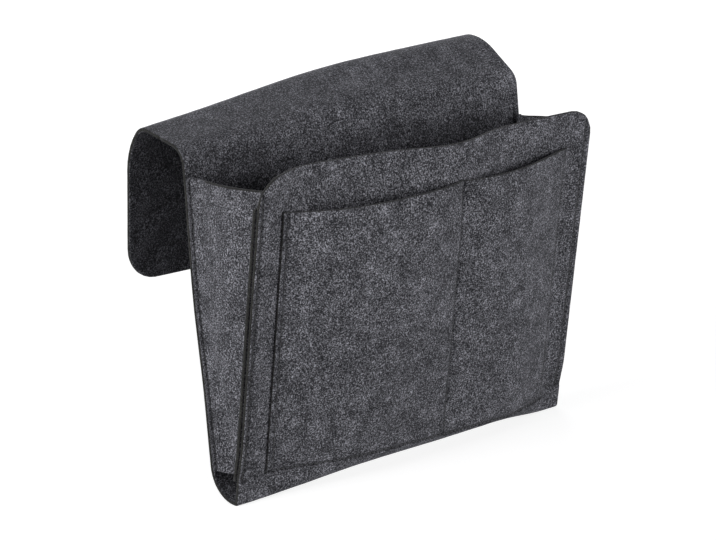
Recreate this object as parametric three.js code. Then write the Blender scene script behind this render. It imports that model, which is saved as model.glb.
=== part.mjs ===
// Felt bedside caddy that hangs by a hook flap over a bed rail, a mattress edge or an armrest.
// One long felt strip makes the front, the bottom, the back, the hook and its hanging flap.
// Two tapered gussets close the sides, and a sheet sewn on the front makes two outer pockets.
// Millimetres, +Z up, +X along the width, the front faces -Y, the origin is the hook's seat.
import * as THREE from 'three';

// Felt, thread and clearances
const FELT = 3;
const THREAD = 0.8;
const GAP = 0.3;

// Felt strip
const WIDTH = 330;
const CORNER_RADIUS = 20;
const FRONT_HEIGHT = 255;
const FRONT_LEAN = 6.8;
const BACK_LEAN = 7;
const BACK_STRAIGHT = 233;

// Bottom fold: a tight crease under the front and a wide sweep up to the back
const CREASE_RADIUS = 5;
const CREASE_SPLIT = 10;
const BASE_FLAT = 1.4;
const SWEEP_RADIUS = 26;

// Between the gussets the bottom slackens into a trough that lifts off the floor and lets the front belly out
const SLACK_CREASE = 16.3;
const SLACK_SWEEP = 19;
const SLACK_RUN = 70;
const FOOT_LINE = 22;

// Front's belly above its foot line: toward the pockets' mouth, and along the top edge
const BELLY_RISE_START = 8;
const BELLY_RISE_END = 50;
const MOUTH_BELLY = 16;
const MOUTH_BELLY_REACH = 115;
const EDGE_BELLY = 11;
const EDGE_BELLY_PLACE = 14;
const EDGE_BELLY_REACH = 62;
const EDGE_BEND = 70;
const EDGE_BEND_POWER = 1.6;

// Hook: two bends with a straight span between them, then the hanging flap
const HOOK_RADIUS = 20;
const HOOK_RISE = 16;
const HOOK_SPAN = 31;
const FLAP_DROP = 114;
const FLAP_SPLAY = 2;

// Gussets
const FLANGE = 7;
const GUSSET_LIFT = 1.2;
const GUSSET_REAR_DROP = 15;
const GUSSET_FRONT_DROP = 8;
const CLOSING_CLEARANCE = 0.5;

// Outer pockets
const POCKET_MARGIN = 23.5;
const POCKET_BASE = 22;
const POCKET_SKEW = 9;
const POCKET_TOP_DROP = 28;
const POCKET_DIVIDER = 21;
const LEFT_POCKET_OPENING = 19.5;
const LEFT_POCKET_LEAN = 0.8;
const RIGHT_POCKET_OPENING = 11.3;

// Seams
const EDGE_SEAM_INSET = 3.2;
const POCKET_SEAM_INSET = 4;
const SEAM_END = 2;

// Mesh fineness
const BEND_STEP = 12;
const CORNER_COLUMNS = 5;
const PANEL_ROWS = 11;
const LOW_ROWS = 3;
const CREASE_ROWS = 5;
const SWEEP_ROWS = 7;
const END_ROWS = 4;
const LEFT_POCKET_COLUMNS = 13;
const RIGHT_POCKET_COLUMNS = 10;
const THREAD_SIDES = 6;
const THREAD_STEPS = 16;

const radians = THREE.MathUtils.degToRad;
const mix = THREE.MathUtils.lerp;
const ease = THREE.MathUtils.smoothstep;
const half = WIDTH / 2;
const pocketHalf = half - POCKET_MARGIN;
const pocketSeam = pocketHalf - POCKET_SEAM_INSET;

const feltMaterial = new THREE.MeshStandardMaterial({ color: 0x4b4b50, roughness: 0.95, metalness: 0 });
const threadMaterial = new THREE.MeshStandardMaterial({ color: 0x2e2e33, roughness: 0.7, metalness: 0 });

const caddy = new THREE.Group();

function addPiece(name, geometry, material = feltMaterial) {
  const mesh = new THREE.Mesh(geometry, material);
  mesh.name = name;
  caddy.add(mesh);
}

// Turns an indexed closed surface so that its faces look outward
function facedOut(points, triangles) {
  let volume = 0;
  for (const [a, b, c] of triangles) {
    volume += points[a].dot(new THREE.Vector3().crossVectors(points[b], points[c]));
  }
  const faces = volume < 0 ? triangles.map(([a, b, c]) => [a, c, b]) : triangles;
  const geometry = new THREE.BufferGeometry().setFromPoints(points);
  geometry.setIndex(faces.flat());
  geometry.computeVertexNormals();
  return geometry;
}

// Felt of even thickness about a grid of middle points, each with its normal
function feltSheet(grid) {
  const rows = grid.length;
  const columns = grid[0].length;
  const points = [];
  for (const side of [1, -1]) {
    for (const row of grid) {
      for (const { middle, normal } of row) {
        points.push(middle.clone().addScaledVector(normal, side * FELT / 2));
      }
    }
  }
  const at = (row, column, side) => side * rows * columns + row * columns + column;
  const triangles = [];
  const addQuad = (a, b, c, d) => triangles.push([a, b, c], [a, c, d]);
  for (let r = 0; r + 1 < rows; r += 1) {
    for (let c = 0; c + 1 < columns; c += 1) {
      addQuad(at(r, c, 0), at(r, c + 1, 0), at(r + 1, c + 1, 0), at(r + 1, c, 0));
      addQuad(at(r, c, 1), at(r + 1, c, 1), at(r + 1, c + 1, 1), at(r, c + 1, 1));
    }
  }
  const rim = [];
  for (let c = 0; c + 1 < columns; c += 1) rim.push([0, c]);
  for (let r = 0; r + 1 < rows; r += 1) rim.push([r, columns - 1]);
  for (let c = columns - 1; c > 0; c -= 1) rim.push([rows - 1, c]);
  for (let r = rows - 1; r > 0; r -= 1) rim.push([r, 0]);
  rim.forEach(([r, c], index) => {
    const [nextRow, nextColumn] = rim[(index + 1) % rim.length];
    addQuad(at(r, c, 0), at(r, c, 1), at(nextRow, nextColumn, 1), at(nextRow, nextColumn, 0));
  });
  return facedOut(points, triangles);
}

// Straight-sided solid between two loops with the same number of points
function loftSolid(lower, upper) {
  const count = lower.length;
  const points = [...lower, ...upper];
  const outline = lower.map((point) => new THREE.Vector2(point.x, point.y));
  const caps = THREE.ShapeUtils.triangulateShape(outline, []);
  const turned = THREE.ShapeUtils.isClockWise(outline) ? -1 : 1;
  const triangles = [];
  for (const [a, b, c] of caps) {
    triangles.push([a, c, b], [a + count, b + count, c + count]);
  }
  for (let i = 0; i < count; i += 1) {
    const next = (i + 1) % count;
    const [from, to] = turned > 0 ? [i, next] : [next, i];
    triangles.push([from, to, to + count], [from, to + count, from + count]);
  }
  return facedOut(points, triangles);
}

// Columns of the pocket sheet: its edges, its seams and even steps between them
function pocketColumns() {
  const spans = [
    [-pocketHalf, -pocketSeam, 1],
    [-pocketSeam, POCKET_DIVIDER, LEFT_POCKET_COLUMNS],
    [POCKET_DIVIDER, pocketSeam, RIGHT_POCKET_COLUMNS],
    [pocketSeam, pocketHalf, 1],
  ];
  const columns = [-pocketHalf];
  for (const [from, to, count] of spans) {
    for (let i = 1; i <= count; i += 1) columns.push(mix(from, to, i / count));
  }
  return columns;
}

// Columns across the strip: some inside, then the rounded corners
function stripColumns(inside) {
  const shoulder = half - CORNER_RADIUS;
  const corner = [];
  for (let i = 0; i <= CORNER_COLUMNS; i += 1) {
    corner.push(shoulder + CORNER_RADIUS * Math.sin((Math.PI / 2) * (i / CORNER_COLUMNS)));
  }
  return [...corner.map((x) => -x).reverse(), ...inside, ...corner];
}

// How far the rounded corner cuts the strip's end back at x
function cornerCut(x) {
  const reach = Math.min(CORNER_RADIUS, Math.max(0, Math.abs(x) - (half - CORNER_RADIUS)));
  return CORNER_RADIUS - Math.sqrt(CORNER_RADIUS ** 2 - reach ** 2);
}

// Walk along the middle of the felt strip in the YZ plane, leaving stations behind it
class StripWalk {
  constructor(y, z, heading) {
    this.y = y;
    this.z = z;
    this.heading = heading;
    this.stations = [];
  }

  mark() {
    this.stations.push({ y: this.y, z: this.z, heading: this.heading });
  }

  // Starts the next felt piece a clearance further on
  startPiece() {
    this.forward(GAP, false);
    this.stations = [];
    this.mark();
  }

  forward(length, marked = true) {
    this.y += length * Math.cos(radians(this.heading));
    this.z += length * Math.sin(radians(this.heading));
    if (marked) this.mark();
  }

  // Positive turns go to the left of the heading
  bend(radius, turn) {
    const side = Math.sign(turn);
    const steps = Math.max(1, Math.round(Math.abs(turn) / BEND_STEP));
    const start = this.heading;
    const centreY = this.y - side * radius * Math.sin(radians(start));
    const centreZ = this.z + side * radius * Math.cos(radians(start));
    for (let i = 1; i <= steps; i += 1) {
      this.heading = start + turn * (i / steps);
      this.y = centreY + side * radius * Math.sin(radians(this.heading));
      this.z = centreZ - side * radius * Math.cos(radians(this.heading));
      this.mark();
    }
  }

  // Straight end with rows that follow the rounded corners
  forwardToRoundedEnd(length) {
    this.forward(length - CORNER_RADIUS);
    for (let i = 1; i <= END_ROWS; i += 1) {
      this.forward(CORNER_RADIUS / END_ROWS, false);
      this.stations.push({ y: this.y, z: this.z, heading: this.heading, cut: i / END_ROWS });
    }
  }

  // Felt piece over the stations left since the piece was started
  sheet(columns = [-half, half]) {
    return feltSheet(this.stations.map(({ y, z, heading, cut = 0 }) => columns.map((x) => {
      const along = new THREE.Vector3(0, Math.cos(radians(heading)), Math.sin(radians(heading)));
      const middle = new THREE.Vector3(x, y, z).addScaledVector(along, -cut * cornerCut(x));
      return { middle, normal: new THREE.Vector3(0, -along.z, along.y) };
    })));
  }
}

// Turns of the strip's bends, and how far each bend reaches along the flats beside it
const creaseTurn = 90 - FRONT_LEAN;
const sweepTurn = 90 - BACK_LEAN;
const creaseTangent = CREASE_RADIUS * Math.tan(radians(creaseTurn / 2));
const sweepTangent = SWEEP_RADIUS * Math.tan(radians(sweepTurn / 2));
const frontUp = new THREE.Vector3(0, -Math.sin(radians(FRONT_LEAN)), Math.cos(radians(FRONT_LEAN)));
const frontOut = new THREE.Vector3(0, -Math.cos(radians(FRONT_LEAN)), -Math.sin(radians(FRONT_LEAN)));
const wallOuter = half - FLANGE;
const wallInner = wallOuter - FELT;

// Smooth hump of height one at a place, down to nothing at its reach on both sides
function hump(x, place, reach) {
  const share = Math.min(1, Math.abs(x - place) / reach);
  return Math.cos((Math.PI / 2) * share) ** 2;
}

// Middle of the felt at the top of the sweep, where the back begins
const backUp = new THREE.Vector3(0, Math.sin(radians(BACK_LEAN)), Math.cos(radians(BACK_LEAN)));
const backIn = new THREE.Vector3(0, -backUp.z, backUp.y);
const sweepTop = backUp.clone().multiplyScalar(sweepTangent).addScaledVector(backIn, FELT / 2);
const creaseArc = radians(creaseTurn);
const sweepArc = radians(sweepTurn);
const endStraight = FOOT_LINE - creaseTangent;
const endArcs = (SWEEP_RADIUS - FELT / 2) * sweepArc + (CREASE_RADIUS - FELT / 2) * creaseArc;
const stripUnder = endArcs + BASE_FLAT + endStraight;

// Middle radii, flat and straight of the strip under the caddy; its length is the same at every x
function trough(x) {
  const slack = 1 - ease(Math.abs(x), wallInner - SLACK_RUN, wallInner);
  const sweep = mix(SWEEP_RADIUS, SLACK_SWEEP, slack) - FELT / 2;
  const crease = mix(CREASE_RADIUS, SLACK_CREASE, slack) - FELT / 2;
  const straight = endStraight * (1 - slack);
  const flat = stripUnder - sweep * sweepArc - crease * creaseArc - straight;
  return { sweep, crease, straight, flat };
}

// Middle of the felt on the front's foot line, where the trough ends
function footPoint(x) {
  const { sweep, crease, straight, flat } = trough(x);
  const forward = sweep * Math.sin(sweepArc) + flat + crease * Math.sin(creaseArc) + straight * Math.cos(creaseArc);
  const drop = sweep * (1 - Math.cos(sweepArc));
  const rise = crease * (1 - Math.cos(creaseArc)) + straight * Math.sin(creaseArc);
  return new THREE.Vector3(x, sweepTop.y - forward, sweepTop.z - drop + rise);
}

// How far the front stands out above its foot line, from the trough's own belly up to the top edge
function frontBelly(x, height) {
  if (Math.abs(x) >= wallInner) return 0;
  const low = footPoint(x).sub(footPoint(half)).dot(frontOut);
  const mouth = MOUTH_BELLY * hump(x, POCKET_DIVIDER, MOUTH_BELLY_REACH);
  const edge = EDGE_BELLY * hump(x, EDGE_BELLY_PLACE, EDGE_BELLY_REACH);
  const climb = ease(height, FOOT_LINE + BELLY_RISE_START, FRONT_HEIGHT - BELLY_RISE_END);
  const bend = Math.max(0, 1 - (FRONT_HEIGHT - height) / EDGE_BEND) ** EDGE_BEND_POWER;
  return (mouth - low) * climb + (edge - mouth) * bend;
}

// Middle of the front at a height up the strip, and the direction that its outer face looks in
function frontAt(x, height) {
  const { crease, straight } = trough(x);
  const below = Math.max(0, FOOT_LINE - height);
  const onStraight = Math.min(below, straight);
  const heading = creaseArc - (below - onStraight) / crease;
  const middle = footPoint(x)
    .addScaledVector(frontUp, Math.max(0, height - FOOT_LINE) - onStraight)
    .addScaledVector(frontOut, frontBelly(x, height));
  middle.y += crease * (Math.sin(creaseArc) - Math.sin(heading));
  middle.z -= crease * (Math.cos(heading) - Math.cos(creaseArc));
  return { middle, normal: new THREE.Vector3(0, -Math.sin(heading), -Math.cos(heading)) };
}

// Point on the front at a height up the strip and an offset outward from its outer face
function frontPoint(x, height, offset) {
  const { middle, normal } = frontAt(x, height);
  return middle.addScaledVector(normal, FELT / 2 + offset);
}

function frontPanel() {
  const foot = CREASE_SPLIT + GAP;
  const columns = stripColumns(pocketColumns());
  const grid = [];
  for (let i = 0; i < LOW_ROWS; i += 1) {
    grid.push(columns.map((x) => frontAt(x, mix(foot, FOOT_LINE, i / LOW_ROWS))));
  }
  for (let i = 0; i <= PANEL_ROWS; i += 1) {
    grid.push(columns.map((x) => frontAt(x, mix(FOOT_LINE, FRONT_HEIGHT - cornerCut(x), i / PANEL_ROWS))));
  }
  return feltSheet(grid);
}

// Bottom fold: from below the front, round the crease, along the flat and up the sweep
function bottomFold() {
  const columns = stripColumns(pocketColumns());
  const grid = [];
  for (let i = 0; i <= CREASE_ROWS; i += 1) {
    grid.push(columns.map((x) => {
      const { crease, straight } = trough(x);
      return frontAt(x, mix(CREASE_SPLIT, FOOT_LINE - straight - crease * creaseArc, i / CREASE_ROWS));
    }));
  }
  for (let i = 0; i <= SWEEP_ROWS; i += 1) {
    const turned = sweepArc * (i / SWEEP_ROWS);
    const normal = new THREE.Vector3(0, Math.sin(turned), -Math.cos(turned));
    grid.push(columns.map((x) => {
      const { sweep } = trough(x);
      const y = sweepTop.y - sweep * (Math.sin(sweepArc) - Math.sin(turned));
      const z = sweepTop.z - sweep * (Math.cos(turned) - Math.cos(sweepArc));
      return { middle: new THREE.Vector3(x, y, z), normal };
    }));
  }
  return feltSheet(grid);
}

// Pocket sheet: sewn on slightly askew, flat along its seams, standing open between them toward the mouth
const pocketTop = FRONT_HEIGHT - POCKET_TOP_DROP;

function pocketBase(x) {
  return POCKET_BASE - POCKET_SKEW * ((x + pocketHalf) / (2 * pocketHalf));
}

function pocketOpening(x, height) {
  const foot = pocketBase(x) + POCKET_SEAM_INSET;
  const rise = Math.max(0, (height - foot) / (pocketTop - foot));
  const inLeft = x < POCKET_DIVIDER;
  const [from, to] = inLeft ? [-pocketSeam, POCKET_DIVIDER] : [POCKET_DIVIDER, pocketSeam];
  const share = Math.min(1, Math.max(0, (x - from) / (to - from)));
  const swell = inLeft
    ? LEFT_POCKET_OPENING * Math.sin(Math.PI * share ** LEFT_POCKET_LEAN)
    : RIGHT_POCKET_OPENING * Math.sin(Math.PI * share);
  return swell * Math.sin((Math.PI / 2) * Math.min(1, rise));
}

function pocketPoint(x, height, offset) {
  return frontPoint(x, height, GAP + offset + pocketOpening(x, height));
}

function pocketPanel() {
  const seamTop = FOOT_LINE + POCKET_SEAM_INSET + SEAM_END;
  const rows = [
    (x) => pocketBase(x),
    (x) => pocketBase(x) + POCKET_SEAM_INSET,
    (x) => mix(pocketBase(x) + POCKET_SEAM_INSET, seamTop, 0.5),
  ];
  for (let i = 0; i <= PANEL_ROWS; i += 1) rows.push(() => mix(seamTop, pocketTop, i / PANEL_ROWS));
  return feltSheet(rows.map((rowHeight) => pocketColumns().map((x) => {
    const height = rowHeight(x);
    return { middle: pocketPoint(x, height, FELT / 2), normal: frontAt(x, height).normal };
  })));
}

// Lines in the YZ plane, as the points p with normal . p = distance
function lineThrough(point, normal) {
  return { ny: normal.y, nz: normal.z, distance: normal.y * point.y + normal.z * point.z };
}

function offsetLine(line, offset) {
  return { ...line, distance: line.distance + offset };
}

function crossing(first, second, x) {
  const determinant = first.ny * second.nz - first.nz * second.ny;
  const y = (first.distance * second.nz - first.nz * second.distance) / determinant;
  const z = (first.ny * second.distance - first.distance * second.ny) / determinant;
  return new THREE.Vector3(x, y, z);
}

// Inner faces of the back and of the front, and the lines that the gussets are cut along
const frontIn = frontOut.clone().negate();
const origin = new THREE.Vector3();
const backFace = offsetLine(lineThrough(origin, backIn), FELT);
const frontFace = offsetLine(lineThrough(frontPoint(half, FOOT_LINE, 0), frontIn), FELT);
const gussetBase = sweepTangent * Math.cos(radians(BACK_LEAN)) + GUSSET_LIFT;
const gussetFoot = lineThrough(new THREE.Vector3(0, 0, gussetBase), new THREE.Vector3(0, 0, 1));
const rearTop = backUp.clone().multiplyScalar(sweepTangent + BACK_STRAIGHT - GUSSET_REAR_DROP);
const frontTop = frontPoint(half, FRONT_HEIGHT - GUSSET_FRONT_DROP, 0);
const topRun = frontTop.clone().sub(rearTop);
const gussetHead = lineThrough(rearTop, new THREE.Vector3(0, -topRun.z, topRun.y));
const flangeHead = lineThrough(frontPoint(half, FRONT_HEIGHT - CORNER_RADIUS, 0), frontUp);

// The front closes until it is parallel to the back, and the rear strip then just spans the space
const closingHinge = frontPoint(half, CREASE_SPLIT, -FELT);
const closedDepth = backIn.dot(closingHinge) - backFace.distance;
const stripDepth = closedDepth - GAP - FELT - CLOSING_CLEARANCE;
const mitreGap = GAP * Math.SQRT2;

// Rear part of a gusset: its flange on the back panel and a strip of side wall with a mitred edge
function gussetRear(side) {
  const section = [
    [half, GAP],
    [half, GAP + FELT],
    [wallOuter, GAP + FELT],
    [wallOuter, stripDepth],
    [wallInner, stripDepth - FELT],
    [wallInner, GAP],
  ];
  const loop = (cut) => section.map(([x, depth]) => crossing(offsetLine(backFace, depth), cut, side * x));
  return loftSolid(loop(gussetFoot), loop(gussetHead));
}

// Folding part of a gusset: from the mitred crease to the front seam
function gussetWing(side) {
  const seamLine = offsetLine(frontFace, GAP);
  const section = [
    [wallOuter, seamLine],
    [wallOuter, offsetLine(backFace, stripDepth + mitreGap)],
    [wallInner, offsetLine(backFace, stripDepth - FELT + mitreGap)],
    [wallInner, seamLine],
  ];
  const loop = (cut) => section.map(([x, line]) => crossing(line, cut, side * x));
  return loftSolid(loop(gussetFoot), loop(gussetHead));
}

// Front flange of a gusset, trimmed to the front panel's rounded corner
function gussetFrontFlange(side) {
  const section = [
    [half, GAP, flangeHead],
    [half, GAP + FELT, flangeHead],
    [wallOuter + GAP, GAP + FELT, gussetHead],
    [wallOuter + GAP, GAP, gussetHead],
  ];
  const point = (x, depth, cut) => crossing(offsetLine(frontFace, depth), cut, side * x);
  const lower = section.map(([x, depth]) => point(x, depth, gussetFoot));
  const upper = section.map(([x, depth, head]) => point(x, depth, head));
  return loftSolid(lower, upper);
}

// Thread of a seam through points that already stand clear of the felt
function seamThread(points) {
  const outline = new THREE.Shape();
  for (let i = 0; i < THREAD_SIDES; i += 1) {
    const angle = (2 * Math.PI * i) / THREAD_SIDES;
    const [u, v] = [(THREAD / 2) * Math.cos(angle), (THREAD / 2) * Math.sin(angle)];
    if (i === 0) outline.moveTo(u, v);
    else outline.lineTo(u, v);
  }
  outline.closePath();
  const extrudePath = new THREE.CatmullRomCurve3(points);
  return new THREE.ExtrudeGeometry(outline, { steps: THREAD_STEPS, bevelEnabled: false, extrudePath });
}

// Even points between two ends of a seam, placed by a function of the share run
function seamPoints(place) {
  return Array.from({ length: THREAD_STEPS + 1 }, (_, i) => place(i / THREAD_STEPS));
}

const threadLift = GAP + THREAD / 2;

function frontSeam(side) {
  const x = side * (half - EDGE_SEAM_INSET);
  const top = FRONT_HEIGHT - cornerCut(x) - SEAM_END;
  return seamThread(seamPoints((run) => frontPoint(x, mix(gussetBase, top, run), threadLift)));
}

function rearSeam(side) {
  const x = side * (half - EDGE_SEAM_INSET);
  const line = offsetLine(backFace, GAP + FELT + threadLift);
  const foot = crossing(line, gussetFoot, x).addScaledVector(backUp, SEAM_END);
  const head = crossing(line, gussetHead, x).addScaledVector(backUp, -SEAM_END);
  return seamThread(seamPoints((run) => foot.clone().lerp(head, run)));
}

function pocketUprightSeam(x) {
  const foot = pocketBase(x) + POCKET_SEAM_INSET + SEAM_END;
  const lift = FELT + threadLift;
  return seamThread(seamPoints((run) => pocketPoint(x, mix(foot, pocketTop - SEAM_END, run), lift)));
}

function pocketBottomSeam() {
  const lift = FELT + threadLift;
  return seamThread(seamPoints((run) => {
    const x = mix(-pocketSeam, pocketSeam, run);
    return pocketPoint(x, pocketBase(x) + POCKET_SEAM_INSET / 2, lift);
  }));
}

// Felt strip from the bottom fold to the end of the flap, with a clearance where pieces meet
addPiece('bottom_fold', bottomFold());

const walk = new StripWalk(sweepTop.y, sweepTop.z, 90 - BACK_LEAN);
const hookMiddle = HOOK_RADIUS - FELT / 2;
const frontBend = 90 - BACK_LEAN - HOOK_RISE;
const rearBend = 90 + HOOK_RISE - FLAP_SPLAY;
walk.startPiece();
walk.forward(BACK_STRAIGHT - GAP);
walk.bend(hookMiddle, -frontBend / 2);
addPiece('back_panel', walk.sheet());

walk.startPiece();
walk.bend(hookMiddle, -frontBend / 2);
walk.forward(HOOK_SPAN / 2);
const seatAlong = new THREE.Vector3(0, Math.cos(radians(HOOK_RISE)), Math.sin(radians(HOOK_RISE)));
const seatDown = new THREE.Vector3(0, seatAlong.z, -seatAlong.y);
const seat = new THREE.Vector3(0, walk.y, walk.z).addScaledVector(seatDown, FELT / 2);
walk.forward(HOOK_SPAN / 2);
walk.bend(hookMiddle, -rearBend / 2);
addPiece('hook_top', walk.sheet());

walk.startPiece();
walk.bend(hookMiddle, -rearBend / 2);
walk.forwardToRoundedEnd(FLAP_DROP);
addPiece('hook_flap', walk.sheet(stripColumns([])));

addPiece('front_panel', frontPanel());
addPiece('pocket_panel', pocketPanel());

for (const [name, side] of [['left', -1], ['right', 1]]) {
  addPiece(`${name}_gusset_rear`, gussetRear(side));
  addPiece(`${name}_gusset_wing`, gussetWing(side));
  addPiece(`${name}_gusset_front_flange`, gussetFrontFlange(side));
  addPiece(`${name}_rear_seam_thread`, rearSeam(side), threadMaterial);
  addPiece(`${name}_front_seam_thread`, frontSeam(side), threadMaterial);
  addPiece(`${name}_pocket_seam_thread`, pocketUprightSeam(side * pocketSeam), threadMaterial);
}
addPiece('pocket_divider_thread', pocketUprightSeam(POCKET_DIVIDER), threadMaterial);
addPiece('pocket_bottom_thread', pocketBottomSeam(), threadMaterial);

// The seat under the hook's span is the origin
caddy.position.copy(seat).negate();

export default caddy;
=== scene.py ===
# %% [markdown]
# # Felt bedside caddy
# The caddy is one long strip of thick grey felt. It makes the front, the bottom, the back, and a hook that
# goes over a bed rail. Two folding gussets close the sides, and a sheet sewn on the front makes two
# pockets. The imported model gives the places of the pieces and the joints. This lesson dresses them as real
# felt: sheets that sag and bow, with soft cut edges, pressed seams and single stitches.

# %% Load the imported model
import math
import bpy
import numpy as np
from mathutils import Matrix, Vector, noise


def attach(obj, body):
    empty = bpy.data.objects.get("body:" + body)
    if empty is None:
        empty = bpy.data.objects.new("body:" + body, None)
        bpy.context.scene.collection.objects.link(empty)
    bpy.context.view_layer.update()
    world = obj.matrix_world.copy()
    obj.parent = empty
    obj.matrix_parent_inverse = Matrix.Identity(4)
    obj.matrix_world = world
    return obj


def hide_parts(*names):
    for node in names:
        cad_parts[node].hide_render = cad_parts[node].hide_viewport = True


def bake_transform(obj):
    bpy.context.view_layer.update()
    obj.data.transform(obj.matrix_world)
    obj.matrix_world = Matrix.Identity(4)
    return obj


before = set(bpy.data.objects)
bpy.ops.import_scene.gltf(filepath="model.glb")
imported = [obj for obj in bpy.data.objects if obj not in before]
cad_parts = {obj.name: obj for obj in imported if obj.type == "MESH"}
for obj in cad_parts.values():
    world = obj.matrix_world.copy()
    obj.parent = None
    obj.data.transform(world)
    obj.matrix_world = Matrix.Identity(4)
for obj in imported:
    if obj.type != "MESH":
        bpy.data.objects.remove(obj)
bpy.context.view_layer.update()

# %% [markdown]
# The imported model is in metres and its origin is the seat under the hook. A maker thinks of this caddy in
# millimetres, standing on a table. So every shape is worked out in millimetres from the foot of the back
# panel, and one function moves it into the model's frame.

# %% From the table to the model's frame
SEAT_BEHIND_FOOT = 58.48074
SEAT_ABOVE_FLOOR = 272.86482
MILLIMETRE = 0.001


def to_frame(points):
    """Points in millimetres from the foot of the back, as metres from the hook's seat."""
    return (np.asarray(points, float) - (0, SEAT_BEHIND_FOOT, SEAT_ABOVE_FLOOR)) * MILLIMETRE


floor_height = to_frame((0, 0, 0))[2]
print("floor height in the frame:", round(floor_height, 4))

# %% [markdown]
# The photograph looks down on the caddy's left front corner from about two metres away, with a long lens.
# The camera was fitted to the caddy's straight edges. It is aimed by a direction that is easy to read: 41
# degrees to the left of the front and 17 degrees above the table.

# %% Camera
CAMERA_PLACE = Vector((-1.350995, -1.586356, 0.493677))
CAMERA_AZIMUTH = -41.0
CAMERA_ELEVATION = 17.03
LENS_MM = 140.85


def direction(azimuth, elevation):
    """Unit vector away from the caddy, at degrees round from its front and degrees above the table."""
    turn = math.radians(azimuth)
    rise = math.radians(elevation)
    return Vector((math.sin(turn) * math.cos(rise), -math.cos(turn) * math.cos(rise), math.sin(rise)))


def add_object(name, data, away=None):
    """Adds an object to the scene; a camera or a lamp looks back along the direction that it stands in."""
    thing = bpy.data.objects.new(name, data)
    if away is not None:
        thing.rotation_euler = (-away).to_track_quat("-Z", "Y").to_euler()
    bpy.context.scene.collection.objects.link(thing)
    return thing


camera = add_object("camera", bpy.data.cameras.new("camera"), direction(CAMERA_AZIMUTH, CAMERA_ELEVATION))
camera.data.lens = LENS_MM
camera.location = CAMERA_PLACE
bpy.context.scene.camera = camera
print("camera at", [round(value, 3) for value in camera.location])

# %% [markdown]
# Materials are node trees. One small function adds a node, sets its properties and fills its inputs, with
# values or with links from other nodes. Colours are written as sRGB hex values, as a paint program shows
# them, and turned to the linear light that the renderer works in.

# %% Node and colour helpers
def add_node(tree, kind, inputs=None, **settings):
    """Adds a node of a kind to a tree; an input is a value or another node's output."""
    node = tree.nodes.new(kind)
    for name, value in settings.items():
        setattr(node, name, value)
    for name, value in (inputs or {}).items():
        if isinstance(value, bpy.types.NodeSocket):
            tree.links.new(value, node.inputs[name])
        else:
            node.inputs[name].default_value = value
    return node


def calculate(tree, operation, *values):
    """Output of a math node on values or other nodes' outputs."""
    return add_node(tree, "ShaderNodeMath", dict(enumerate(values)), operation=operation).outputs[0]


def linear(hex_colour):
    """Linear RGBA of an sRGB hex colour."""
    values = [int(hex_colour[place:place + 2], 16) / 255 for place in (1, 3, 5)]
    return [v / 12.92 if v <= 0.04045 else ((v + 0.055) / 1.055) ** 2.4 for v in values] + [1.0]


def empty_material(name):
    """New material with no nodes in it."""
    material = bpy.data.materials.new(name)
    material.use_nodes = True
    material.node_tree.nodes.clear()
    return material


print("mid grey:", [round(value, 3) for value in linear("#808080")])

# %% [markdown]
# The caddy stands on a white table in soft light. The floor is a diffuse white that takes the caddy's
# shadow, and a little glow that only the camera and reflections see lifts it to the white of the page. The
# world does the same: it is white to look at, and lights the felt only gently.

# %% Floor and world
FLOOR_SIZE = 12.0
FLOOR_GRAIN = 40.0
FLOOR_GLOW = 0.78
WORLD_LIGHT = 0.2


def seen_directly(tree):
    """Output that is 1 for camera, glossy and transmission rays."""
    path = add_node(tree, "ShaderNodeLightPath").outputs
    looked = calculate(tree, "MAXIMUM", path["Is Camera Ray"], path["Is Glossy Ray"])
    return calculate(tree, "MAXIMUM", looked, path["Is Transmission Ray"])


floor_material = empty_material("white_table")
tree = floor_material.node_tree
grain = add_node(tree, "ShaderNodeTexNoise", {"Scale": FLOOR_GRAIN, "Detail": 2.0})
paint = add_node(tree, "ShaderNodeValToRGB", {"Fac": grain.outputs["Fac"]})
paint.color_ramp.elements[0].color = linear("#b3b3b3")
paint.color_ramp.elements[1].color = linear("#b7b7b7")
matte = add_node(tree, "ShaderNodeBsdfDiffuse", {"Color": paint.outputs["Color"]})
glow_level = calculate(tree, "MULTIPLY", seen_directly(tree), FLOOR_GLOW)
glow = add_node(tree, "ShaderNodeEmission", {"Strength": glow_level})
lit = add_node(tree, "ShaderNodeAddShader", {0: matte.outputs[0], 1: glow.outputs[0]})
add_node(tree, "ShaderNodeOutputMaterial", {"Surface": lit.outputs[0]})

floor_mesh = bpy.data.meshes.new("table_top")
reach = FLOOR_SIZE / 2
corner_signs = ((-1, -1), (1, -1), (1, 1), (-1, 1))
floor_corners = [(reach * x, reach * y, floor_height) for x, y in corner_signs]
floor_mesh.from_pydata(floor_corners, [], [(0, 1, 2, 3)])
floor_mesh.materials.append(floor_material)
floor = add_object("table_top", floor_mesh)

world = bpy.data.worlds.new("soft_room")
bpy.context.scene.world = world
world.use_nodes = True
tree = world.node_tree
tree.nodes.clear()
room = add_node(tree, "ShaderNodeBackground", {"Color": linear("#fbfcff"), "Strength": WORLD_LIGHT})
page = add_node(tree, "ShaderNodeBackground", {"Color": linear("#ffffff"), "Strength": 1.0})
shown = add_node(tree, "ShaderNodeMixShader",
                 {0: seen_directly(tree), 1: room.outputs[0], 2: page.outputs[0]})
add_node(tree, "ShaderNodeOutputWorld", {"Surface": shown.outputs[0]})
bpy.context.scene.view_settings.view_transform = "Standard"
print("stage:", floor.name, "and", world.name)

# %% [markdown]
# Three large soft lamps stand in for studio softboxes: one in front, one on the left that brightens the
# gusset, and one behind for whoever walks round the caddy. They stand low, as the dim top of the hook
# shows. The inside of the hook stays dark, between the bag and the flap.

# %% Studio lamps
LAMP_AIM = Vector((0, -0.06, -0.14))
LAMP_DISTANCE = 2.2
LAMP_SIZE = 1.2


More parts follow.
